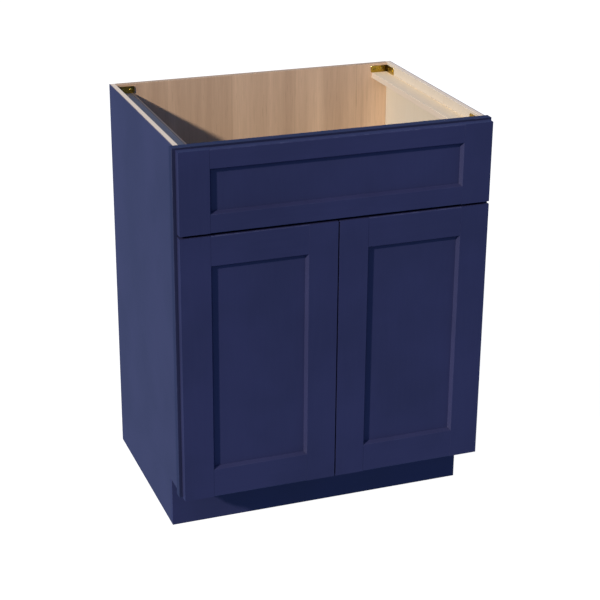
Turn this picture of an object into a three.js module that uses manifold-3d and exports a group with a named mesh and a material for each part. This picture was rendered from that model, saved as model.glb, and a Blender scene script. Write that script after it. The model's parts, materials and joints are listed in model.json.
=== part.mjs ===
// A bathroom vanity cabinet with a face frame, a fixed false front, two doors and an open top.
// Millimetres, +Z up, +X to the right, the doors towards -Y; the origin is under the middle of the cabinet.
import * as THREE from "three";
import { mergeVertices } from "three/addons/utils/BufferGeometryUtils.js";
import Module from "manifold-3d";

const wasm = await Module();
wasm.setup();

// Cabinet sizes. Inside the cabinet group, y = 0 is the front face of the face frame.
const height = 876;
const frameWidth = 686;
const boxWidth = 673;
const caseDepth = 514;
const board = 12.5;
const dadoDepth = 6;

// Face frame
const frameThickness = 19;
const frameMember = 38;
const midRailBottom = 679;

// Toe space
const toeHeight = 111;
const toeRecess = 81;

// Doors and false front
const frontThickness = 19;
const frontGap = 2.5;
const meetingGap = 3;
const doorBottom = 112.25;
const doorTop = 695.5;
const falseFrontBottom = 701;
const falseFrontTop = 873;
const member = 63.5;
const falseFrontRail = 39;
const bevel = { width: 5, depth: 8.5 };
const groove = { front: 9, back: 15.5, bottom: 0 };
const panel = { front: 9, back: 15.25, edge: 0.5 };
const tenon = { front: 9.25, back: 15.25, gap: 0.5, setback: 1 };
const jointGap = 0.25;

// Ledges and corner brackets
const ledgeWidth = 38;
const ledgeTop = 855;
const bracket = { leg: 41, height: 16, gauge: 2, hole: 2.25, holePlaces: [14, 32] };

// Fastenings and stops
const screw = { shank: 2, head: 4, headHeight: 2.5, length: 31, inset: 58.5, point: 3 };
const screwHeights = { top: 846, bottom: 709 };
const spacer = { radius: 5, inset: 16.5, heights: { top: 862, bottom: 709 } };
const bumper = { radius: 5, thickness: 2.25, inset: 8.75, heights: { top: 687, bottom: 125 } };

// Hinges: u runs inwards from a door's outer edge, v forwards from the front of the face frame.
const hinge = {
  heights: { upper: 616, lower: 190 },
  pin: { u: 6.5, v: 13, radius: 1, half: 8.5 },
  cup: { u: 20.5, outer: 17.5, inner: 16.7, mouth: 1.5, seat: 2.5, inside: 15.2, end: 16 },
  ear: { half: 26, low: 9, high: 32, hole: 2, holeRise: 22 },
  plate: { gauge: 2, from: -18, to: -1, half: 20, hole: 2.25, holeRise: 13 },
  arm: { half: 4, back: 13.3, front: 14.9 },
  knuckle: { outer: 1.9, bore: 1.3 },
};
const clearance = 0.3;

const halfBox = boxWidth / 2;
const halfFrame = frameWidth / 2;
const halfInside = halfBox - board;
const frontBack = -frontGap;
const frontFace = -frontGap - frontThickness;
const floorTop = toeHeight + frameMember;
const floorUnder = floorTop - board;
const backFace = caseDepth - board;
const stileInner = halfFrame - frameMember;

// ---- Materials ----
const finishes = {
  paint: { color: 0x2f3560, roughness: 0.42, metalness: 0 },
  birch: { color: 0xdcc4a4, roughness: 0.6, metalness: 0 },
  pine: { color: 0xd9bd92, roughness: 0.7, metalness: 0 },
  zinc: { color: 0xc2a34a, roughness: 0.35, metalness: 0.9 },
  nickel: { color: 0xb9bbbd, roughness: 0.28, metalness: 1 },
  rubber: { color: 0xe6e6e0, roughness: 0.35, metalness: 0 },
};

function finished(name, geometry, finish) {
  const mesh = new THREE.Mesh(geometry, new THREE.MeshStandardMaterial(finishes[finish]));
  mesh.name = name;
  return mesh;
}

// ---- Shapes ----
function block(low, high) {
  const size = high.map((value, axis) => value - low[axis]);
  return new THREE.BoxGeometry(...size).translate(...low.map((value, axis) => value + size[axis] / 2));
}

function extrude(points, depth) {
  const shape = new THREE.Shape(points.map(([a, b]) => new THREE.Vector2(a, b)));
  return new THREE.ExtrudeGeometry(shape, { depth, bevelEnabled: false });
}

// An outline of (x, y) points drawn along Z.
function alongZ(points, from, to) {
  return extrude(points, to - from).translate(0, 0, from);
}

// An outline of (y, z) points drawn along X.
const crossways = new THREE.Matrix4().makeBasis(
  new THREE.Vector3(0, 1, 0),
  new THREE.Vector3(0, 0, 1),
  new THREE.Vector3(1, 0, 0),
);

function alongX(points, from, to) {
  return extrude(points, to - from).applyMatrix4(crossways).translate(from, 0, 0);
}

function roundAlongX(radius, from, to, y, z) {
  return new THREE.CylinderGeometry(radius, radius, to - from, 20)
    .rotateZ(Math.PI / 2)
    .translate((from + to) / 2, y, z);
}

function roundAlongY(radius, from, to, x, z, sides = 20) {
  return new THREE.CylinderGeometry(radius, radius, to - from, sides).translate(x, (from + to) / 2, z);
}

function roundAlongZ(radius, from, to, x, y) {
  return new THREE.CylinderGeometry(radius, radius, to - from, 20)
    .rotateX(Math.PI / 2)
    .translate(x, y, (from + to) / 2);
}

// A profile of (radius, y) points turned about an axis along Y.
function turned(profile, x, z, sides) {
  const points = profile.map(([radius, y]) => new THREE.Vector2(radius, y));
  return new THREE.LatheGeometry(points, sides).translate(x, 0, z);
}

// ---- Joining and cutting ----
function toSolid(geometry) {
  const bare = geometry.index ? geometry.toNonIndexed() : geometry.clone();
  bare.deleteAttribute("normal");
  bare.deleteAttribute("uv");
  const merged = mergeVertices(bare, 1e-4);
  return new wasm.Manifold(
    new wasm.Mesh({
      numProp: 3,
      vertProperties: merged.attributes.position.array,
      triVerts: new Uint32Array(merged.index.array),
    }),
  );
}

function toGeometry(solid) {
  const mesh = solid.getMesh();
  const geometry = new THREE.BufferGeometry();
  geometry.setAttribute("position", new THREE.BufferAttribute(mesh.vertProperties.slice(), 3));
  geometry.setIndex(new THREE.BufferAttribute(mesh.triVerts.slice(), 1));
  geometry.computeVertexNormals();
  return geometry;
}

function cut(geometry, ...tools) {
  return toGeometry(tools.reduce((solid, tool) => solid.subtract(toSolid(tool)), toSolid(geometry)));
}

function join(...pieces) {
  return toGeometry(pieces.map(toSolid).reduce((whole, piece) => whole.add(piece)));
}

// ---- Box ----
function sidePanel(hand) {
  const outline = [
    [frameThickness, toeHeight],
    [toeRecess + board, toeHeight],
    [toeRecess + board, 0],
    [caseDepth, 0],
    [caseDepth, height],
    [frameThickness, height],
  ];
  const dado = block(
    [-halfInside - dadoDepth, frameThickness - 1, floorUnder],
    [-halfInside + 1, backFace, floorTop],
  );
  return finished(`${hand}_side_panel`, cut(alongX(outline, -halfBox, -halfInside), dado), "paint");
}

function backPanel() {
  return finished("back_panel", block([-halfInside, backFace, 0], [halfInside, caseDepth, height]), "birch");
}

function bottomPanel() {
  const reach = halfInside + dadoDepth;
  return finished(
    "bottom_panel",
    block([-reach, frameThickness, floorUnder], [reach, backFace, floorTop]),
    "birch",
  );
}

function rearCleat() {
  return finished(
    "rear_bottom_cleat",
    block(
      [-halfInside, backFace - frameThickness, floorUnder - frameMember],
      [halfInside, backFace, floorUnder],
    ),
    "pine",
  );
}

// The board covers the side panels' front ends, and above the notch it stands between them.
function toeKickBoard() {
  const back = toeRecess + board;
  const low = block([-halfBox, toeRecess, 0], [halfBox, back, toeHeight]);
  const high = block([-halfInside, toeRecess, toeHeight - 1], [halfInside, back, floorUnder]);
  return finished("toe_kick_board", join(low, high), "paint");
}

function ledge(hand) {
  return finished(
    `${hand}_ledge`,
    block([-halfInside, frameThickness, ledgeTop - board], [-halfInside + ledgeWidth, backFace, ledgeTop]),
    "birch",
  );
}

// An angle on the ledge, in the corner between the side panel and the face at cornerY.
function cornerBracket(name, cornerY, towards) {
  const { leg, height: tall, gauge, hole, holePlaces } = bracket;
  const x = -halfInside;
  const ends = (reach) => [cornerY, cornerY + towards * reach].sort((a, b) => a - b);
  const [legLow, legHigh] = ends(leg);
  const [faceLow, faceHigh] = ends(gauge);
  const middle = ledgeTop + tall / 2;
  const angle = join(
    block([x, faceLow, ledgeTop], [x + leg, faceHigh, ledgeTop + tall]),
    block([x, legLow, ledgeTop], [x + gauge, legHigh, ledgeTop + tall]),
  );
  const holes = holePlaces.flatMap((along) => [
    roundAlongY(hole, faceLow - 1, faceHigh + 1, x + along, middle),
    roundAlongX(hole, x - 1, x + gauge + 1, cornerY + towards * along, middle),
  ]);
  return finished(name, cut(angle, ...holes), "zinc");
}

// ---- Face frame ----
function frameStile(hand) {
  return finished(
    `${hand}_frame_stile`,
    block([-halfFrame, 0, toeHeight], [-stileInner, frameThickness, height]),
    "paint",
  );
}

const screwX = -halfBox + screw.inset;

function frameRail(name, bottom, screwHeight) {
  const rail = block([-stileInner, 0, bottom], [stileInner, frameThickness, bottom + frameMember]);
  if (!screwHeight) return finished(name, rail, "paint");
  const bores = [screwX, -screwX].map((x) =>
    roundAlongY(screw.shank + clearance, -1, frameThickness + 1, x, screwHeight),
  );
  return finished(name, cut(rail, ...bores), "paint");
}

// ---- Framed fronts ----
// Section of a frame member: each point is the distance from its outer edge, then y.
function memberSection(width) {
  const full = width + bevel.width;
  return [
    [0, frontBack],
    [0, frontFace],
    [width, frontFace],
    [full, frontFace + bevel.depth],
    [full, frontFace + groove.front],
    [width + groove.bottom, frontFace + groove.front],
    [width + groove.bottom, frontFace + groove.back],
    [full, frontFace + groove.back],
    [full, frontBack],
  ];
}

function stileGeometry(outerX, inwards, bottom, top) {
  const points = memberSection(member).map(([across, y]) => [outerX + inwards * across, y]);
  return alongZ(points, bottom, top);
}

// Everything on a stile's side of the line where a rail's end meets it.
function copeTool(outerX, inwards, low, high) {
  const edge = outerX + inwards * (member + jointGap);
  const foot = edge + inwards * bevel.width;
  const outline = [
    [outerX, frontBack + 1],
    [outerX, frontFace - 1],
    [edge, frontFace - 1],
    [edge, frontFace],
    [foot, frontFace + bevel.depth],
    [foot, frontBack + 1],
  ];
  return alongZ(outline, low, high);
}

// A rail between two stiles, coped over their bevels, with a tenon in each stile's groove.
function railGeometry(outerZ, inwards, width, left, right) {
  const points = memberSection(width).map(([across, y]) => [y, outerZ + inwards * across]);
  const blank = alongX(points, left + member, right - member);
  const [low, high] = [outerZ - width - 2 * bevel.width, outerZ + width + 2 * bevel.width];
  const coped = cut(blank, copeTool(left, 1, low, high), copeTool(right, -1, low, high));
  const tenonEnds = [outerZ, outerZ + inwards * (width - tenon.setback)].sort((a, b) => a - b);
  const tenonBlock = (outerX, towards) => {
    const tip = outerX + towards * (member + groove.bottom + tenon.gap);
    const root = outerX + towards * (member + bevel.width + 2);
    const [near, far] = [tip, root].sort((a, b) => a - b);
    return block(
      [near, frontFace + tenon.front, tenonEnds[0]],
      [far, frontFace + tenon.back, tenonEnds[1]],
    );
  };
  return join(coped, tenonBlock(left, 1), tenonBlock(right, -1));
}

function frontPanel(left, right, bottom, top, railWidth) {
  const insetX = member + panel.edge;
  const insetZ = railWidth + panel.edge;
  return block(
    [left + insetX, frontFace + panel.front, bottom + insetZ],
    [right - insetX, frontFace + panel.back, top - insetZ],
  );
}

// ---- False front ----
function falseFrontCentre() {
  const rail = (name, outer, inwards) =>
    finished(name, railGeometry(outer, inwards, falseFrontRail, -halfBox, halfBox), "paint");
  return [
    rail("false_front_top_rail", falseFrontTop, -1),
    rail("false_front_bottom_rail", falseFrontBottom, 1),
    finished(
      "false_front_panel",
      frontPanel(-halfBox, halfBox, falseFrontBottom, falseFrontTop, falseFrontRail),
      "paint",
    ),
  ];
}

const screwTip = frameThickness - screw.length;

function falseFrontScrew(hand, level) {
  const headEnd = frameThickness + screw.headHeight;
  const profile = [
    [0, screwTip],
    [screw.shank, screwTip + screw.point],
    [screw.shank, frameThickness],
    [screw.head, frameThickness],
    [screw.head, frameThickness + screw.headHeight / 2],
    [screw.head * 0.7, headEnd],
    [0, headEnd],
  ];
  const geometry = turned(profile, screwX, screwHeights[level], 20);
  return finished(`false_front_${hand}_${level}_screw`, geometry, "nickel");
}

function falseFrontSpacer(hand, level) {
  const x = -halfBox + spacer.inset;
  const pad = roundAlongY(spacer.radius, frontBack, 0, x, spacer.heights[level], 24);
  return finished(`false_front_${hand}_${level}_spacer`, pad, "rubber");
}

function falseFrontSide(hand) {
  const bores = Object.values(screwHeights).map((z) =>
    roundAlongY(screw.shank + clearance, screwTip - clearance, 0, screwX, z),
  );
  const stile = cut(stileGeometry(-halfBox, 1, falseFrontBottom, falseFrontTop), ...bores);
  return [
    finished(`false_front_${hand}_stile`, stile, "paint"),
    ...["top", "bottom"].flatMap((level) => [falseFrontScrew(hand, level), falseFrontSpacer(hand, level)]),
  ];
}

// ---- Hinges ----
const atU = (u) => -halfBox + u;

// The cup let into the door, with an ear above and below its flange and the pin across it.
function hingeCup(name, z) {
  const { cup, ear, pin } = hinge;
  const x = atU(cup.u);
  const profile = [
    [0, -cup.end],
    [cup.outer, -cup.end],
    [cup.outer, -cup.mouth],
    [cup.inner, -cup.mouth],
    [cup.inner, -cup.inside],
    [0, -cup.inside],
  ];
  const flange = block([atU(ear.low), -cup.seat, z - ear.half], [atU(ear.high), -cup.mouth, z + ear.half]);
  const openings = [
    roundAlongY((cup.inner + cup.outer) / 2, -cup.seat - 1, 0, x, z, 40),
    ...[-1, 1].map((way) => roundAlongY(ear.hole, -cup.seat - 1, 0, x, z + way * ear.holeRise)),
  ];
  const cross = roundAlongZ(pin.radius, z - pin.half, z + pin.half, atU(pin.u), -pin.v);
  return finished(name, join(turned(profile, x, z, 40), cut(flange, ...openings), cross), "nickel");
}

// The plate on the face frame's inner edge and the arm that reaches round the pin.
function hingeArm(name, z) {
  const { arm, plate, pin, knuckle } = hinge;
  const edge = halfBox - stileInner;
  const pinX = atU(pin.u);
  const low = z - arm.half;
  const high = z + arm.half;
  const whole = join(
    block([atU(edge), -plate.to, z - plate.half], [atU(edge + plate.gauge), -plate.from, z + plate.half]),
    block([atU(edge), -arm.front, low], [atU(edge + plate.gauge), -plate.to + 1, high]),
    block([pinX, -arm.front, low], [atU(edge + plate.gauge), -arm.back, high]),
    roundAlongZ(knuckle.outer, low, high, pinX, -pin.v),
  );
  const holes = [-1, 1].map((way) =>
    roundAlongX(
      plate.hole,
      atU(edge) - 1,
      atU(edge + plate.gauge) + 1,
      -(plate.from + plate.to) / 2,
      z + way * plate.holeRise,
    ),
  );
  const bore = roundAlongZ(knuckle.bore, low - 1, high + 1, pinX, -pin.v);
  return finished(name, cut(whole, bore, ...holes), "nickel");
}

// ---- Doors ----
function doorBumper(name, x, z) {
  const { radius, thickness } = bumper;
  const profile = [
    [0, frontBack],
    [radius, frontBack],
    [radius, frontBack + thickness / 2],
    [radius * 0.6, frontBack + thickness],
    [0, frontBack + thickness],
  ];
  return finished(name, turned(profile, x, z, 24), "rubber");
}

function door(hand) {
  const outer = -halfBox;
  const meeting = -meetingGap / 2;
  const { cup } = hinge;
  const bores = Object.values(hinge.heights).map((z) =>
    roundAlongY(cup.outer + clearance, -cup.end - clearance, 0, atU(cup.u), z, 40),
  );
  const rail = (level, z, inwards) =>
    finished(`${hand}_door_${level}_rail`, railGeometry(z, inwards, member, outer, meeting), "paint");
  return [
    finished(
      `${hand}_door_hinge_stile`,
      cut(stileGeometry(outer, 1, doorBottom, doorTop), ...bores),
      "paint",
    ),
    finished(`${hand}_door_meeting_stile`, stileGeometry(meeting, -1, doorBottom, doorTop), "paint"),
    rail("top", doorTop, -1),
    rail("bottom", doorBottom, 1),
    finished(`${hand}_door_panel`, frontPanel(outer, meeting, doorBottom, doorTop, member), "paint"),
    ...Object.entries(bumper.heights).map(([level, z]) =>
      doorBumper(`${hand}_door_${level}_bumper`, meeting - bumper.inset, z),
    ),
    ...Object.entries(hinge.heights).flatMap(([level, z]) => [
      hingeCup(`${hand}_${level}_hinge_cup`, z),
      hingeArm(`${hand}_${level}_hinge_arm`, z),
    ]),
  ];
}

// ---- Cabinet ----
// Every paired piece is drawn for the left side, and the right side is its mirror image.
function half(hand, mirror) {
  const group = new THREE.Group();
  group.add(
    sidePanel(hand),
    ledge(hand),
    cornerBracket(`${hand}_rear_bracket`, backFace, -1),
    cornerBracket(`${hand}_front_bracket`, frameThickness, 1),
    frameStile(hand),
    ...falseFrontSide(hand),
    ...door(hand),
  );
  group.scale.x = mirror;
  return group;
}

const cabinet = new THREE.Group();
cabinet.add(
  half("left", 1),
  half("right", -1),
  backPanel(),
  bottomPanel(),
  rearCleat(),
  toeKickBoard(),
  frameRail("frame_top_rail", height - frameMember, screwHeights.top),
  frameRail("frame_mid_rail", midRailBottom, screwHeights.bottom),
  frameRail("frame_bottom_rail", toeHeight),
  ...falseFrontCentre(),
);
cabinet.position.y = -(caseDepth + frontFace) / 2;

const vanity = new THREE.Group();
vanity.add(cabinet);

export default vanity;
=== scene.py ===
# Bathroom vanity base cabinet: painted fronts, birch box, plated fittings. Metres, Z up, doors towards -Y.
import bpy
import bmesh
import json
import math
from mathutils import Vector, Matrix


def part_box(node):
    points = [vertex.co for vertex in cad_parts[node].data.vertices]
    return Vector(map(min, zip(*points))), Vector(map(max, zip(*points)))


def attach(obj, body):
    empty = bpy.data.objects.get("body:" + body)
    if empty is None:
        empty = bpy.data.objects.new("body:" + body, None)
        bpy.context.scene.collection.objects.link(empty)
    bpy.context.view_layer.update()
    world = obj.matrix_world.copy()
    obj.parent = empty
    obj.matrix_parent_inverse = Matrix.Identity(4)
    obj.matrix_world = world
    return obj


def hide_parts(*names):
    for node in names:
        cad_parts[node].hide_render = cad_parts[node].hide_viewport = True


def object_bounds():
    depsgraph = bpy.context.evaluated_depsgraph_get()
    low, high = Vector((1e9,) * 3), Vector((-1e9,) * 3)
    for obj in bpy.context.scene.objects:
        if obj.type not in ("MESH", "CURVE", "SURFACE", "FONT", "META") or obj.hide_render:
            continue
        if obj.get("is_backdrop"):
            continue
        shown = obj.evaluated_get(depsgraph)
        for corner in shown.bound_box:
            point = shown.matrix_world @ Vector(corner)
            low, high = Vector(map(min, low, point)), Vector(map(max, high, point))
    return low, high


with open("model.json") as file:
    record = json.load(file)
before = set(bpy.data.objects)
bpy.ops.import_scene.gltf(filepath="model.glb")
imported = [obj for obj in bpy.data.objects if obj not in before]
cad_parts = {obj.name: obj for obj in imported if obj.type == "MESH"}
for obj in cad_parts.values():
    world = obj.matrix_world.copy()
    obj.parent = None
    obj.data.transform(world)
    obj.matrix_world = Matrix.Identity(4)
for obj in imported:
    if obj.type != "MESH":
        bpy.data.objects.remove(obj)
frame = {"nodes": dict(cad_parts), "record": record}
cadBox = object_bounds()
nodes = frame["nodes"]
bodyOf = {node: body for body, names in frame["record"]["behaviour"]["bodies"].items() for node in names}
mm = 0.001


def say(stage):
    print("vanity:", stage)


# shader tools: a Value wraps a socket, and sums on Values add Math nodes
class Value:
    def __init__(self, recipe, socket):
        self.recipe = recipe
        self.socket = socket

    def math(self, operation, *values):
        return self.recipe.add("Math", {"operation": operation}, values)

    def __add__(self, other): return self.math("ADD", self, other)
    def __radd__(self, other): return self.math("ADD", other, self)
    def __sub__(self, other): return self.math("SUBTRACT", self, other)
    def __rsub__(self, other): return self.math("SUBTRACT", other, self)
    def __mul__(self, other): return self.math("MULTIPLY", self, other)
    def __rmul__(self, other): return self.math("MULTIPLY", other, self)
    def __truediv__(self, other): return self.math("DIVIDE", self, other)
    def __rtruediv__(self, other): return self.math("DIVIDE", other, self)
    def __abs__(self): return self.math("ABSOLUTE", self)
    def fract(self): return self.math("FRACT", self)
    def floor(self): return self.math("FLOOR", self)
    def sine(self): return self.math("SINE", self)

    def rise(self, low, high):  # 0 at low, 1 at high, eased
        return self.recipe.add("MapRange", {"interpolation_type": "SMOOTHSTEP"}, [self, low, high, 0.0, 1.0])


class Recipe:
    def __init__(self, name, **constants):
        self.material = bpy.data.materials.new(name)
        self.material.use_nodes = True
        self.tree = self.material.node_tree
        self.shader = self.tree.nodes["Principled BSDF"]
        for key, value in constants.items():  # the same all over, so set on the shader itself
            self.shader.inputs[key.replace("_", " ")].default_value = value
        where = self.tree.nodes.new("ShaderNodeTexCoord")
        self.place = Value(self, where.outputs["Object"])

    def put(self, socket, value):
        if isinstance(value, Value):
            self.tree.links.new(value.socket, socket)
        else:
            socket.default_value = value

    # settings go on first, then the sockets by place in a list or by name in a dictionary
    def add(self, kind, settings, values, output=0):
        node = self.tree.nodes.new("ShaderNode" + kind)
        for key, value in settings.items():
            if key == "stops":
                while len(node.color_ramp.elements) < len(value):
                    node.color_ramp.elements.new(0.5)
                for element, (position, colour) in zip(node.color_ramp.elements, value):
                    element.position = position
                    element.color = (*colour, 1)
            else:
                setattr(node, key, value)
        pairs = values.items() if isinstance(values, dict) else enumerate(values)
        for key, value in pairs:
            self.put(node.inputs[key], value)
        return Value(self, node.outputs[output])

    def stretched(self, scale, shift=(0, 0, 0)):
        return self.add("Mapping", {}, {"Vector": self.place, "Location": shift, "Scale": scale})

    def noise(self, vector, scale, detail=2.0, rough=0.5, distortion=0.0):
        return self.add("TexNoise", {}, {
            "Vector": vector, "Scale": scale, "Detail": detail,
            "Roughness": rough, "Distortion": distortion})

    def axis(self, name):
        node = self.tree.nodes.new("ShaderNodeSeparateXYZ")
        self.put(node.inputs[0], self.place)
        return Value(self, node.outputs[name.upper()])

    def attribute(self, name):
        return self.add("Attribute", {"attribute_name": name}, {}, "Fac")

    def blend(self, amount, first, second, how="MIX"):
        full = lambda c: c if isinstance(c, Value) else (*c, 1)
        return self.add("Mix", {"data_type": "RGBA", "blend_type": how}, {
            0: amount, 6: full(first), 7: full(second)}, 2)

    def ramp(self, amount, *stops):
        return self.add("ValToRGB", {"stops": stops}, [amount])

    def bump(self, height, strength, distance, under=None):
        values = {"Strength": strength, "Distance": distance, "Height": height}
        if under:
            values["Normal"] = under
        return self.add("Bump", {}, values)

    def finish(self, colour, roughness=None, normal=None):
        self.put(self.shader.inputs["Base Color"], colour)
        if roughness is not None:
            self.put(self.shader.inputs["Roughness"], roughness)
        if normal is not None:
            self.put(self.shader.inputs["Normal"], normal)
        return self.material


# scales that stretch a pattern along the grain
along = {"x": (0.05, 1, 1), "y": (1, 0.05, 1), "z": (1, 1, 0.05)}

# sprayed navy paint: the fronts' tone, a lighter tone on the side panels that is painted light for the key
# falling harder on them, and a darker tone on the face frame that is painted shade for its strips beside the
# doors
paint = dict(
    front=(0.0180, 0.0192, 0.0630), side=(0.0256, 0.0274, 0.0680),
    frame=(0.0120, 0.0140, 0.0455), worn=(0.042, 0.047, 0.105),
    shade=0.10,  # how far the tone drifts either way
    cloudSize=6.0, grainSize=260.0, peelSize=700.0, scuffSize=45.0,
    grainShow=0.06, scuffShow=0.55, edgeWear=0.12,
    grainDepth=0.10, peelDepth=0.05, gloss=0.48, roughness=0.46,
)


def paintFinish(name, grain, base):
    r = Recipe(f"slate_blue_paint_{name}", Specular_IOR_Level=paint["gloss"])
    cloud = r.noise(r.place, paint["cloudSize"], 3.0)
    fibre = r.noise(r.stretched(along[grain]), paint["grainSize"], 4.0, 0.6)
    peel = r.noise(r.place, paint["peelSize"], 1.0)
    rub = r.attribute("rub")  # 1 on an eased edge, 0 elsewhere
    scuff = r.noise(r.place, paint["scuffSize"], 4.0, 0.65).rise(0.42, 0.68) * rub
    dark = tuple(c * (1 - paint["shade"]) for c in base)
    light = tuple(c * (1 + paint["shade"]) for c in base)
    colour = r.blend(cloud.rise(0.3, 0.7), dark, light)
    colour = r.blend(fibre.rise(0.35, 0.75) * paint["grainShow"], colour, paint["worn"])
    colour = r.blend(scuff * paint["scuffShow"] + rub * paint["edgeWear"], colour, paint["worn"])
    roughness = paint["roughness"] + cloud * 0.10 + scuff * 0.12 + fibre * 0.04
    orangePeel = r.bump(peel, paint["peelDepth"], 0.2 * mm)
    normal = r.bump(fibre, paint["grainDepth"], 0.4 * mm, orangePeel)
    return r.finish(colour, roughness, normal)


# bare wood: long figure, finer streaks, hair fibre and pores, all along the grain
birch = dict(
    pale=(0.66, 0.476, 0.32), tan=(0.49, 0.319, 0.19), fleck=(0.30, 0.19, 0.11),
    # the colour of a painted shadow laid along a ledge's inner edge
    paintedShade=(0.27, 0.27, 0.28), sanded=(0.66, 0.54, 0.40),
    leaf=152 * mm, firstLeaf=0.37,  # veneer leaf width, and where the first one starts
    figureSize=13.0, streakSize=90.0, fibreSize=900.0, poreSize=420.0,
    figureShare=0.80, streakShare=0.20, leafShare=0.26, middle=0.21,
    fibreShow=0.14, poreShow=0.22, jointShow=0.20, edgeWear=0.10, paintedShadeShow=0.9,
    fibreDepth=0.12, poreDepth=0.25, gloss=0.35, roughness=0.50,
)


def birchFinish(name, grain, across, pale, tan, contrast, leaf=birch["leaf"], paintedShadeFrom=None):
    r = Recipe(name, Specular_IOR_Level=birch["gloss"])
    spot = r.axis(across)
    leaves = spot / leaf + birch["firstLeaf"]
    leafId = leaves.floor()  # sliced veneer comes in leaves, each a shade apart
    # the wavy part is each leaf's own tone; the steady step from leaf to leaf pales a board towards the far end
    # of its across axis, painted bounce light on the back panel's right side
    leafToneAndBounce = 0.5 - leafId * 0.25 + (leafId * 2.4 + 3.0).sine() * 0.15
    joint = abs(leaves.fract() - 0.5).rise(0.488, 0.5)
    hair = tuple(c if c == 1 else 0.02 for c in along[grain])
    figure = r.noise(r.stretched(along[grain]), birch["figureSize"], 3.0, 0.55, 0.6)
    streak = r.noise(r.stretched(along[grain], (3.1, 7.7, 1.3)), birch["streakSize"], 4.0, 0.6)
    fibre = r.noise(r.stretched(hair), birch["fibreSize"], 2.0)
    pore = r.noise(r.stretched(along[grain], (9.1, 2.2, 5.5)), birch["poreSize"], 1.0).rise(0.66, 0.74)
    tone = figure * birch["figureShare"] + streak * birch["streakShare"]
    tone = tone + leafToneAndBounce * birch["leafShare"] - birch["middle"]
    colour = r.blend((tone * contrast).rise(0.05, 0.85), pale, tan)
    colour = r.blend(fibre.rise(0.35, 0.8) * (birch["fibreShow"] * contrast), colour, birch["fleck"])
    colour = r.blend(pore * (birch["poreShow"] * contrast), colour, birch["fleck"])
    colour = r.blend(joint * birch["jointShow"], colour, birch["fleck"])
    colour = r.blend(r.attribute("rub") * birch["edgeWear"], colour, birch["sanded"])
    if paintedShadeFrom is not None:  # painted shadow: darker along the edge beyond this place
        paintedShade = (spot + streak * 2 * mm).rise(paintedShadeFrom, paintedShadeFrom + 2 * mm)
        colour = r.blend(paintedShade * birch["paintedShadeShow"], colour, birch["paintedShade"], "MULTIPLY")
    roughness = birch["roughness"] + streak * 0.14 + pore * 0.12
    normal = r.bump(fibre, birch["fibreDepth"], 0.3 * mm, r.bump(pore, birch["poreDepth"], 0.15 * mm))
    return r.finish(colour, roughness, normal)


# cut edges of the plywood: tones of the long grain and the end grain for each kind of board
plies = dict(
    count=7, glue=(0.20, 0.14, 0.10), glueShow=0.22, endGrainShow=0.45, fleckShow=0.35,
    lap=2.0 * mm, cover=0.9, wander=0.35, roughness=0.62,
)
plyTones = {
    "side": ((0.86, 0.715, 0.52), (0.68, 0.533, 0.372)),
    "back": ((0.54, 0.39, 0.25), (0.36, 0.238, 0.14)),
    "bottom": ((0.62, 0.466, 0.334), (0.42, 0.295, 0.195)),
}


# layers through the thickness; paint laps a little way over the edge from a painted face
def plyEdgeFinish(name, through, start, thickness, tones, paintedSide):
    r = Recipe(name, Specular_IOR_Level=0.25)
    wobble = r.noise(r.place, 60.0, 2.0) * plies["wander"]
    depth = (r.axis(through) - start) / thickness * plies["count"] + wobble - 0.17
    endGrain = abs((depth * 0.5).fract() - 0.5).rise(0.22, 0.28)
    glue = abs(depth.fract() - 0.5).rise(0.44, 0.5)
    fleck = r.noise(r.place, 900.0, 3.0)
    mottle = r.noise(r.place, 30.0, 3.0)
    colour = r.blend(endGrain * plies["endGrainShow"] + mottle * 0.2, *tones)
    colour = r.blend(glue * plies["glueShow"], colour, plies["glue"])
    colour = r.blend(fleck.rise(0.5, 0.75) * endGrain * plies["fleckShow"], colour, plies["glue"])
    if paintedSide:
        painted = start if paintedSide < 0 else start + thickness
        inwards = (r.axis(through) - painted) * -paintedSide / plies["lap"]
        ragged = 1 - (inwards + mottle * 0.8 - 0.4).rise(0.85, 1.15)
        colour = r.blend(ragged * plies["cover"], colour, paint["worn"])
    return r.finish(colour, plies["roughness"] + fleck * 0.2, r.bump(fleck + glue, 0.25, 0.2 * mm))


# metal and rubber; the brackets' plating is darker towards their bends, painted shade for the shaded inside
# corner
zincLook = dict(
    tints=((0.28, (0.40, 0.28, 0.04)), (0.5, (0.50, 0.35, 0.05)), (0.72, (0.60, 0.42, 0.08))),
    bend=(0.10, 0.06, 0.015), bendShow=0.85, bendReach=(10 * mm, 34 * mm),
    edge=(0.78, 0.64, 0.36), edgeWear=0.4, roughness=0.18,
)
nickelLook = dict(
    bright=(0.60, 0.59, 0.57), dull=(0.46, 0.45, 0.43), edge=(0.74, 0.73, 0.71), edgeWear=0.5, roughness=0.24,
)
rubberLook = dict(clear=(0.62, 0.62, 0.58), milky=(0.80, 0.80, 0.77), roughness=0.30)


def zincFinish():
    r = Recipe("yellow_zinc", Metallic=1.0)
    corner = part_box("right_rear_bracket")[1]
    tint = r.noise(r.place, 32.0, 2.0, 0.6, 0.8)
    # painted shade: the plating darkens towards the bend, standing in for the corner's shade
    fromBend = corner.x - abs(r.axis("x")) + corner.y - abs(r.axis("y"))
    bendShade = 1 - (fromBend + tint * 12 * mm).rise(*zincLook["bendReach"])
    pit = r.noise(r.place, 1400.0, 2.0)
    colour = r.ramp(tint, *zincLook["tints"])
    colour = r.blend(bendShade * zincLook["bendShow"], colour, zincLook["bend"])
    colour = r.blend(r.attribute("rub") * zincLook["edgeWear"], colour, zincLook["edge"])
    roughness = zincLook["roughness"] + tint * 0.14 + pit * 0.06
    return r.finish(colour, roughness, r.bump(pit, 0.12, 0.1 * mm))


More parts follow.
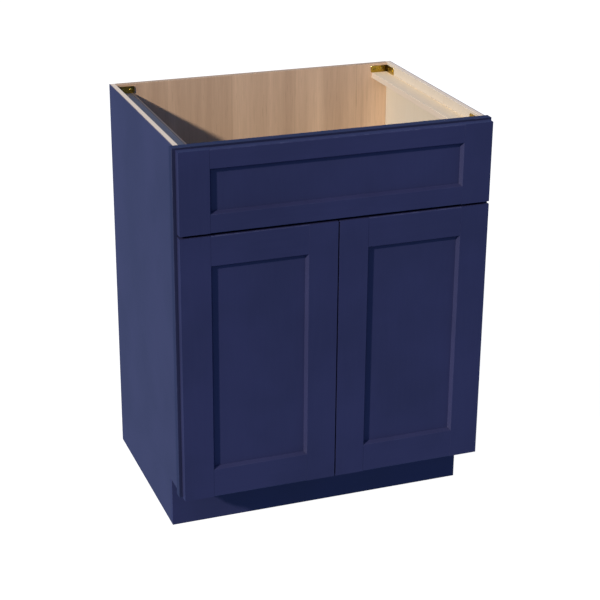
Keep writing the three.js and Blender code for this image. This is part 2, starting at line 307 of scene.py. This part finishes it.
def nickelFinish():
    r = Recipe("nickelled_steel", Metallic=1.0)
    brushed = r.noise(r.stretched((1, 1, 0.04)), 1500.0, 3.0)
    smear = r.noise(r.place, 55.0, 3.0)
    colour = r.blend(smear.rise(0.3, 0.75), nickelLook["bright"], nickelLook["dull"])
    colour = r.blend(r.attribute("rub") * nickelLook["edgeWear"], colour, nickelLook["edge"])
    return r.finish(colour, nickelLook["roughness"] + smear * 0.16, r.bump(brushed, 0.08, 0.1 * mm))


def rubberFinish():
    r = Recipe("milky_rubber", Specular_IOR_Level=0.5)
    milk = r.noise(r.place, 300.0, 2.0)
    colour = r.blend(milk, rubberLook["clear"], rubberLook["milky"])
    return r.finish(colour, rubberLook["roughness"] + milk * 0.15)


paints = {
    "x": paintFinish("across", "x", paint["front"]),
    "z": paintFinish("upright", "z", paint["front"]),
}
# the face frame's darker paint is painted shade for its strips beside the doors
shadedFramePaints = {
    "x": paintFinish("frame_shaded_across", "x", paint["frame"]),
    "z": paintFinish("frame_shaded_upright", "z", paint["frame"]),
}
# the side panels' lighter paint is painted light for the key falling harder on the sides
litSidePaint = paintFinish("side", "z", paint["side"])
zinc = zincFinish()
nickel = nickelFinish()
rubber = rubberFinish()
say("finishes made")


# eased copies of the frame's solids
ease = dict(
    front=1.8 * mm, shoulder=0.2 * mm, board=0.45 * mm, metal=0.25 * mm, soft=0.3 * mm, legEnd=3.5 * mm,
    segments=2, finer=3, finest=4,
)


def cleanCopy(node):
    bm = bmesh.new()
    bm.from_mesh(nodes[node].data)
    bmesh.ops.remove_doubles(bm, verts=bm.verts, dist=2e-6)
    bmesh.ops.dissolve_limit(bm, angle_limit=math.radians(0.5), verts=bm.verts, edges=bm.edges)
    return bm


def easeEdges(bm, edges, width, segments=None):
    rub = bm.faces.layers.float.get("rub") or bm.faces.layers.float.new("rub")
    if edges:
        made = bmesh.ops.bevel(bm, geom=edges, offset=width, offset_type="OFFSET", profile=0.5,
                               segments=segments or ease["segments"], affect="EDGES", clamp_overlap=True)
        for face in made["faces"]:
            face.smooth = True
            face[rub] = 1.0


def sharpEdges(bm, least=30):
    least = math.radians(least)
    return [e for e in bm.edges if len(e.link_faces) == 2 and e.is_convex and e.calc_face_angle(0) > least]


def pieceFrom(bm, name, node, finishes, choose=None):
    bmesh.ops.dissolve_degenerate(bm, dist=1e-6, edges=bm.edges)  # a bevel that meets another can leave slivers
    bmesh.ops.triangulate(bm, faces=[f for f in bm.faces if len(f.verts) > 4])
    mesh = bpy.data.meshes.new(name)
    bm.to_mesh(mesh)
    for finish in finishes:
        mesh.materials.append(finish)
    if choose:
        for face, made in zip(bm.faces, mesh.polygons):
            made.material_index = choose(face)
    bm.free()
    piece = bpy.data.objects.new(name, mesh)
    bpy.context.scene.collection.objects.link(piece)
    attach(piece, bodyOf[node])
    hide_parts(node)


# fronts: each stile, rail and panel keeps its own grain, and the outer edges are rounded over
fronts = dict(stile=63.5 * mm, rail={"false_front": 39 * mm, "left_door": 63.5 * mm, "right_door": 63.5 * mm})


def near(a, b):
    return abs(a - b) < 0.02 * mm


def frontMember(node, front, low, high):
    bm = cleanCopy(node)
    stile, rail = fronts["stile"], fronts["rail"][front]
    shoulders = {"x": (low.x + stile, high.x - stile), "z": (low.z + rail, high.z - rail)}

    def onRim(v):
        return near(v.x, low.x) or near(v.x, high.x), near(v.z, low.z) or near(v.z, high.z)

    def rounded(edge):  # the outline on the face and the back, and its four corners
        a, b = edge.verts[0].co, edge.verts[1].co
        (ax, az), (bx, bz) = onRim(a), onRim(b)
        level = near(a.y, b.y) and (near(a.y, low.y) or near(a.y, high.y))
        corner = ax and az and bx and bz
        return corner or (level and ((ax and bx and near(a.x, b.x)) or (az and bz and near(a.z, b.z))))

    def shoulder(edge):  # where the flat of the face breaks into the sloped inner edge
        a, b = edge.verts[0].co, edge.verts[1].co
        if not (near(a.y, low.y) and near(b.y, low.y)):
            return False
        upright = near(a.x, b.x) and any(near(a.x, x) for x in shoulders["x"])
        return upright or (near(a.z, b.z) and any(near(a.z, z) for z in shoulders["z"]))

    easeEdges(bm, [e for e in bm.edges if shoulder(e) and e.is_convex], ease["shoulder"])
    easeEdges(bm, [e for e in bm.edges if rounded(e) and e.is_convex], ease["front"], ease["finer"])
    grain = "x" if node.endswith("rail") else "z"
    pieceFrom(bm, node + "_painted", node, [paints[grain]])


for front in ("false_front", "left_door", "right_door"):
    parts = [n for n in nodes if n.startswith(front) and n.split("_")[-1] in ("stile", "rail", "panel")]
    boxes = [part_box(n) for n in parts]
    low = Vector([min(b[0][i] for b in boxes) for i in range(3)])
    high = Vector([max(b[1][i] for b in boxes) for i in range(3)])
    for node in parts:
        frontMember(node, front, low, high)
say("fronts painted")


def easedBoard(node):
    bm = cleanCopy(node)
    easeEdges(bm, sharpEdges(bm), ease["board"])
    return bm


# face frame and toe board
for node in [n for n in nodes if "frame_" in n or n == "toe_kick_board"]:
    tones = shadedFramePaints if "frame_" in node else paints
    grain = "z" if node.endswith("stile") else "x"
    pieceFrom(easedBoard(node), node + "_painted", node, [tones[grain]])

# plywood box: painted outside, veneer inside, plies showing on the cut edges
boards = {
    "side": dict(across="y", pale=(0.53, 0.467, 0.37), tan=(0.475, 0.395, 0.298), contrast=0.6),
    "back": dict(across="x", pale=(0.82, 0.565, 0.358), tan=(0.50, 0.324, 0.199), contrast=1.25),
    "bottom": dict(across="x", pale=birch["pale"], tan=birch["tan"], contrast=0.9),
}


def plyBoard(node, kind, through, grain, paintedSide=0):
    low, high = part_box(node)
    index = "xyz".index(through)
    start, thickness = low[index], high[index] - low[index]
    face = birchFinish(f"birch_face_{node}", grain, **boards[kind])
    edge = plyEdgeFinish(f"ply_edge_{node}", through, start, thickness, plyTones[kind], paintedSide)

    def choose(f):
        towards = f.normal[index]
        if paintedSide and towards * paintedSide > 0.5:
            return 2  # painted
        return 0 if abs(towards) > 0.75 else 1  # bare veneer, or a cut edge

    pieceFrom(easedBoard(node), node + "_ply", node, [face, edge, litSidePaint], choose)


plyBoard("left_side_panel", "side", "x", "z", -1)
plyBoard("right_side_panel", "side", "x", "z", 1)
plyBoard("back_panel", "back", "y", "z")
plyBoard("bottom_panel", "bottom", "z", "y")

# ledges: pale and tan for the edges and for the top; the tops are painted paler than the edges as painted
# light, the left ledge's tones are darker as painted shade, and its inner edge is painted darker as a painted
# shadow
ledges = dict(
    # the left ledge's tones are darker than the right's: painted shade
    left=dict(
        face=((0.45, 0.333, 0.242), (0.37, 0.266, 0.186)), top=((0.47, 0.352, 0.255), (0.39, 0.285, 0.19)),
        paintedShade=6 * mm),
    # the right ledge's top is paler than its edges: painted light making up for the key falling less on the top
    right=dict(
        face=((0.58, 0.485, 0.38), (0.53, 0.428, 0.316)), top=((0.76, 0.61, 0.40), (0.70, 0.552, 0.353)),
        paintedShade=None),
    contrast=0.7, leaf=310 * mm,
)
for hand in ("left", "right"):
    node, look = f"{hand}_ledge", ledges[hand]
    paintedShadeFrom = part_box(node)[1].x - look["paintedShade"] if look["paintedShade"] else None
    sizes = (ledges["contrast"], ledges["leaf"], paintedShadeFrom)
    finishes = [birchFinish(f"birch_{node}_{part}", "y", "x", *look[part], *sizes) for part in ("face", "top")]
    pieceFrom(easedBoard(node), node + "_wood", node, finishes, lambda f: int(f.normal.z > 0.7))

# cleat under the rear of the bottom panel
cleat = dict(pale=(0.66, 0.49, 0.31), tan=(0.50, 0.32, 0.17), contrast=1.2, leaf=400 * mm)
pine = birchFinish("planed_pine", "x", "z", **cleat)
pieceFrom(easedBoard("rear_bottom_cleat"), "rear_bottom_cleat_wood", "rear_bottom_cleat", [pine])
say("box boards made")


# plated fittings and soft stops
def atLegEnd(node, edge):
    low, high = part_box(node)
    a, b = edge.verts[0].co, edge.verts[1].co
    level = abs(a.z - b.z) < 0.1 * mm
    farX = high.x if "left" in node else low.x
    farY = low.y if "rear" in node else high.y
    return level and (all(near(v.x, farX) for v in (a, b)) or all(near(v.y, farY) for v in (a, b)))


for node in nodes:
    metal = zinc if node.endswith("_bracket") else nickel
    if node.endswith(("_bracket", "_cup", "_arm", "_screw")):
        bm = cleanCopy(node)
        for face in bm.faces:
            face.smooth = True
        for edge in bm.edges:
            edge.smooth = len(edge.link_faces) == 2 and edge.calc_face_angle(0) < math.radians(35)
        if metal is zinc:  # each leg's end corners are rounded off
            corners = [e for e in sharpEdges(bm, 60) if atLegEnd(node, e)]
            easeEdges(bm, corners, ease["legEnd"], ease["finest"])
        easeEdges(bm, [e for e in sharpEdges(bm, 60) if e.calc_length() > 3 * mm], ease["metal"])
        pieceFrom(bm, node + "_plated", node, [metal])
    elif node.endswith(("_spacer", "_bumper")):
        bm = cleanCopy(node)
        easeEdges(bm, sharpEdges(bm, 25), ease["soft"], ease["finer"])
        pieceFrom(bm, node + "_soft", node, [rubber])
say("fittings plated")


# repeated fixings: points with a facing direction, and a tree that sets a fixing on each
def pointMesh(name, points, facings, strings=()):
    mesh = bpy.data.meshes.new(name)
    mesh.from_pydata(points, strings, [])
    facing = mesh.attributes.new("facing", "FLOAT_VECTOR", "POINT")
    for item, way in zip(facing.data, facings):
        item.vector = way
    piece = bpy.data.objects.new(name, mesh)
    bpy.context.scene.collection.objects.link(piece)
    return piece


class Tree:
    def __init__(self, name, inputs):
        self.tree = bpy.data.node_groups.new(name, "GeometryNodeTree")
        face = self.tree.interface
        face.new_socket("Geometry", in_out="INPUT", socket_type="NodeSocketGeometry")
        self.keys = {}
        for label, kind, value in inputs:
            socket = face.new_socket(label, in_out="INPUT", socket_type=kind)
            if value is not None:
                socket.default_value = value
            self.keys[label] = socket.identifier
        face.new_socket("Geometry", in_out="OUTPUT", socket_type="NodeSocketGeometry")
        self.given = self.tree.nodes.new("NodeGroupInput")

    def value(self, label):
        return self.given.outputs[label]

    def add(self, kind, settings, values, output=0):
        node = self.tree.nodes.new(kind)
        for key, value in settings.items():
            setattr(node, key, value)
        for key, value in values.items():
            for one in value if isinstance(value, list) else [value]:
                if isinstance(one, bpy.types.NodeSocket):
                    self.tree.links.new(one, node.inputs[key])
                else:
                    node.inputs[key].default_value = one
        return node.outputs[output]

    def scaled(self, socket, factor):
        return self.add("ShaderNodeMath", {"operation": "MULTIPLY"}, {0: socket, 1: factor})

    def vector(self, x, y, z):
        return self.add("ShaderNodeCombineXYZ", {}, {0: x, 1: y, 2: z})

    # one fixing on each point, its own Z turned to the point's facing and spun by the seed
    def scatter(self, points, fixing, spin):
        facing = self.add(
            "GeometryNodeInputNamedAttribute", {"data_type": "FLOAT_VECTOR"}, {"Name": "facing"})
        turn = self.add("FunctionNodeAlignRotationToVector", {"axis": "Z"}, {"Vector": facing})
        spun = self.add(
            "FunctionNodeRandomValue", {"data_type": "FLOAT"},
            {2: -spin, 3: spin, "Seed": self.value("Seed")}, 1)
        roll = self.add("FunctionNodeEulerToRotation", {}, {0: self.vector(0.0, 0.0, spun)})
        rotation = self.add("FunctionNodeRotateRotation", {"rotation_space": "LOCAL"}, {0: turn, 1: roll})
        instances = self.add(
            "GeometryNodeInstanceOnPoints", {}, {"Points": points, "Instance": fixing, "Rotation": rotation})
        real = self.add("GeometryNodeRealizeInstances", {}, {0: instances})
        done = self.add("GeometryNodeSetMaterial", {}, {0: real, "Material": self.value("Finish")})
        out = self.tree.nodes.new("NodeGroupOutput")
        self.tree.links.new(done, out.inputs[0])
        return self


# a pan head: a short rim, a coned crown, and a cross recess cut into it
def screwTree():
    t = Tree("panHeadScrew", [
        ("Radius", "NodeSocketFloat", 3.2 * mm), ("Height", "NodeSocketFloat", 1.6 * mm),
        ("Slot", "NodeSocketFloat", 3.4 * mm), ("Seed", "NodeSocketInt", 3),
        ("Finish", "NodeSocketMaterial", None)])
    radius, height, slot = t.value("Radius"), t.value("Height"), t.value("Slot")
    rim = t.add("GeometryNodeMeshCone", {}, {
        "Vertices": 20, "Radius Top": radius, "Radius Bottom": t.scaled(radius, 0.96),
        "Depth": t.scaled(height, 0.45)})
    crown = t.add("GeometryNodeMeshCone", {}, {
        "Vertices": 20, "Side Segments": 2, "Radius Top": t.scaled(radius, 0.62), "Radius Bottom": radius,
        "Depth": t.scaled(height, 0.55)})
    onRim = t.vector(0.0, 0.0, t.scaled(height, 0.45))
    lifted = t.add("GeometryNodeTransform", {}, {0: crown, "Translation": onRim})
    exact = {"solver": "EXACT"}
    head = t.add("GeometryNodeMeshBoolean", {"operation": "UNION", **exact}, {"Mesh 2": [rim, lifted]})
    bars = []
    thin = t.scaled(slot, 0.24)
    sunk = t.vector(0.0, 0.0, t.scaled(height, 1.15))
    for wide, deep in ((slot, thin), (thin, slot)):
        bar = t.add("GeometryNodeMeshCube", {}, {"Size": t.vector(wide, deep, height)})
        bars.append(t.add("GeometryNodeTransform", {}, {0: bar, "Translation": sunk}))
    cross = t.add("GeometryNodeMeshBoolean", {"operation": "UNION", **exact}, {"Mesh 2": bars})
    cut = t.add(
        "GeometryNodeMeshBoolean", {"operation": "DIFFERENCE", **exact}, {"Mesh 1": head, "Mesh 2": cross})
    return t.scatter(t.value("Geometry"), cut, math.pi)


# a staple's crown of round wire, set at even spacing along a line
def stapleTree():
    t = Tree("stapleRow", [
        ("Spacing", "NodeSocketFloat", 85 * mm), ("Crown", "NodeSocketFloat", 11 * mm),
        ("Wire", "NodeSocketFloat", 0.55 * mm), ("Seed", "NodeSocketInt", 8),
        ("Finish", "NodeSocketMaterial", None)])
    line = t.add("GeometryNodeMeshToCurve", {}, {0: t.value("Geometry")})
    spaced = t.add("GeometryNodeResampleCurve", {"mode": "LENGTH"}, {0: line, "Length": t.value("Spacing")})
    half = t.scaled(t.value("Crown"), 0.5)
    crown = t.add("GeometryNodeCurvePrimitiveLine", {}, {
        "Start": t.vector(t.scaled(half, -1.0), 0.0, 0.0), "End": t.vector(half, 0.0, 0.0)})
    wire = t.add("GeometryNodeCurvePrimitiveCircle", {}, {"Resolution": 8, "Radius": t.value("Wire")})
    bar = t.add("GeometryNodeCurveToMesh", {}, {0: crown, 1: wire, "Fill Caps": True})
    return t.scatter(spaced, bar, 0.12)


def setFixings(name, tree, body, slot, points, facings, strings=(), **sizes):
    base = pointMesh(name + "_points", points, facings, strings)
    modifier = base.modifiers.new("fixings", "NODES")
    modifier.node_group = tree.tree
    for label, value in sizes.items():
        modifier[tree.keys[label]] = value
    bpy.context.view_layer.update()
    evaluated = base.evaluated_get(bpy.context.evaluated_depsgraph_get())
    mesh = bpy.data.meshes.new_from_object(evaluated)
    base.modifiers.remove(modifier)
    bpy.data.objects.remove(base)
    piece = bpy.data.objects.new(name, mesh)
    bpy.context.scene.collection.objects.link(piece)
    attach(piece, body)
    say(f"{name}: {len(mesh.polygons)} faces")


screws = screwTree()
staples = stapleTree()
fixings = dict(
    bracketGauge=2 * mm, bracketHoles=(14 * mm, 32 * mm),  # metal thickness, and holes from the bend
    plateHoles=13 * mm, plateInset=8.5 * mm, earHoles=22 * mm, stapleInset=24 * mm,
    bracketScrew=dict(Radius=3.4 * mm, Seed=5, Finish=zinc),
    plateScrew=dict(Radius=3.4 * mm, Height=1.3 * mm, Seed=9, Finish=nickel),
    cupScrew=dict(Radius=2.9 * mm, Height=1.0 * mm, Slot=3.0 * mm, Seed=4, Finish=nickel),
    staple=dict(Seed=2, Finish=nickel),
)


def middle(low, high):
    return (low + high) / 2


# brackets: two screws in each leg
points, facings = [], []
for node in [n for n in nodes if n.endswith("_bracket")]:
    low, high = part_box(node)
    side = -1 if "left" in node else 1
    rear = "rear" in node
    z = middle(low.z, high.z)
    gauge = fixings["bracketGauge"]
    wallX = low.x if side < 0 else high.x
    wallY, inward = (high.y, -1) if rear else (low.y, 1)
    for hole in fixings["bracketHoles"]:
        points.append((wallX - side * hole, wallY + inward * gauge, z))
        facings.append((0, inward, 0))
        points.append((wallX - side * gauge, wallY + inward * hole, z))
        facings.append((-side, 0, 0))
setFixings("bracket_screws", screws, "cabinet", "yellow_zinc", points, facings, **fixings["bracketScrew"])

# hinge plates: two screws in each, on the frame's inner edge
points, facings = [], []
for node in [n for n in nodes if n.endswith("_hinge_arm")]:
    low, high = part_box(node)
    side = -1 if "left" in node else 1
    face = high.x if side < 0 else low.x
    for way in (-1, 1):
        z = middle(low.z, high.z) + way * fixings["plateHoles"]
        points.append((face, high.y - fixings["plateInset"], z))
        facings.append((-side, 0, 0))
setFixings(
    "hinge_plate_screws", screws, "cabinet", "nickelled_steel", points, facings, **fixings["plateScrew"])

# hinge cups: a screw through each ear, on the backs of the doors
for hand in ("left", "right"):
    points, facings = [], []
    for node in [n for n in nodes if n.startswith(hand) and n.endswith("_hinge_cup")]:
        low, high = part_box(node)
        for way in (-1, 1):
            z = middle(low.z, high.z) + way * fixings["earHoles"]
            points.append((middle(low.x, high.x), high.y, z))
            facings.append((0, 1, 0))
    door = f"{hand}_door"
    setFixings(f"{hand}_cup_screws", screws, door, "nickelled_steel", points, facings, **fixings["cupScrew"])

# staples through the back into the bottom panel
backLow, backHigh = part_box("back_panel")
bottomLow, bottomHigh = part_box("bottom_panel")
seam = middle(bottomLow.z, bottomHigh.z)
ends = (backLow.x + fixings["stapleInset"], backHigh.x - fixings["stapleInset"])
points = [(x, backHigh.y, seam) for x in ends]
facings = [(0, 1, 0)] * 2
row = [(0, 1)]
setFixings("rear_staples", staples, "cabinet", "nickelled_steel", points, facings, row, **fixings["staple"])
say("fixings set")

# camera: angles in degrees, lens and sensor in millimetres
view = dict(place=(-1.148, -3.10625, 1.774), turn=-20.55, lift=22.24, roll=0.48, lens=96.05, sensor=36)
turn, lift, roll = (math.radians(view[k]) for k in ("turn", "lift", "roll"))
back = Vector((math.sin(turn) * math.cos(lift), -math.cos(turn) * math.cos(lift), math.sin(lift)))
right = (-back).cross(Vector((0, 0, 1))).normalized()
up = right.cross(-back)
camX = right * math.cos(roll) + up * math.sin(roll)
camY = up * math.cos(roll) - right * math.sin(roll)
camera = bpy.data.objects.new("camera", bpy.data.cameras.new("camera"))
camera.data.lens = view["lens"]
camera.data.sensor_width = view["sensor"]
camera.matrix_world = Matrix.Translation(view["place"]) @ Matrix((camX, camY, back)).transposed().to_4x4()
bpy.context.scene.collection.objects.link(camera)
bpy.context.scene.camera = camera

# studio: one warm key, a low soft light behind, cool fill all round, pale floor
studio = dict(
    key=dict(way=(0.77, 0.40, -0.475), energy=4.22, angle=3.0, colour=(1.0, 0.93, 0.83)),
    rear=dict(way=(-0.55, -0.83, -0.06), energy=1.3, angle=12.0, colour=(1.0, 0.95, 0.88)),
    fill=(0.145, 0.230, 0.482), white=1.0,
    floor=dict(glow=1.0, dark=(0.10, 0.10, 0.10), light=(0.12, 0.12, 0.12), reach=30),
)
for name in ("key", "rear"):
    light = bpy.data.lights.new(name, "SUN")
    light.energy = studio[name]["energy"]
    light.angle = math.radians(studio[name]["angle"])
    light.color = studio[name]["colour"]
    lamp = bpy.data.objects.new(name, light)
    lamp.rotation_euler = Vector(studio[name]["way"]).to_track_quat("-Z", "Y").to_euler()
    lamp.visible_glossy = name == "key"
    bpy.context.scene.collection.objects.link(lamp)

# the camera sees plain white, and everything else sees the fill
world = bpy.data.worlds.new("studio")
bpy.context.scene.world = world
world.use_nodes = True
tree = world.node_tree
fill = tree.nodes["Background"]
fill.inputs[0].default_value = (*studio["fill"], 1)
white = tree.nodes.new("ShaderNodeBackground")
white.inputs[0].default_value = (1, 1, 1, 1)
white.inputs[1].default_value = studio["white"]
path = tree.nodes.new("ShaderNodeLightPath")
mix = tree.nodes.new("ShaderNodeMixShader")
tree.links.new(path.outputs["Is Camera Ray"], mix.inputs[0])
tree.links.new(fill.outputs[0], mix.inputs[1])
tree.links.new(white.outputs[0], mix.inputs[2])
tree.links.new(mix.outputs[0], tree.nodes["World Output"].inputs[0])

floorMesh = bpy.data.meshes.new("floor")
ground = studio["floor"]
reach = ground["reach"]
corners = [(-reach, -reach, 0), (reach, -reach, 0), (reach, reach, 0), (-reach, reach, 0)]
floorMesh.from_pydata(corners, [], [(0, 1, 2, 3)])
floorFinish = Recipe(
    "pale_floor", Roughness=0.9, Specular_IOR_Level=0.0,
    Emission_Color=(1, 1, 1, 1), Emission_Strength=ground["glow"])
speck = floorFinish.noise(floorFinish.place, 40.0, 2.0)
floorMesh.materials.append(floorFinish.finish(floorFinish.blend(speck, ground["dark"], ground["light"])))
floor = bpy.data.objects.new("floor", floorMesh)
bpy.context.scene.collection.objects.link(floor)
floor.visible_diffuse = False
floor.visible_glossy = False
floor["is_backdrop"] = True
bpy.context.scene.view_settings.view_transform = "Standard"
bpy.context.scene.view_settings.look = "None"
say("studio set")

flat = lambda box: [list(map(float, corner)) for corner in box]
{"cad": flat(cadBox), "visual": flat(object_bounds())}
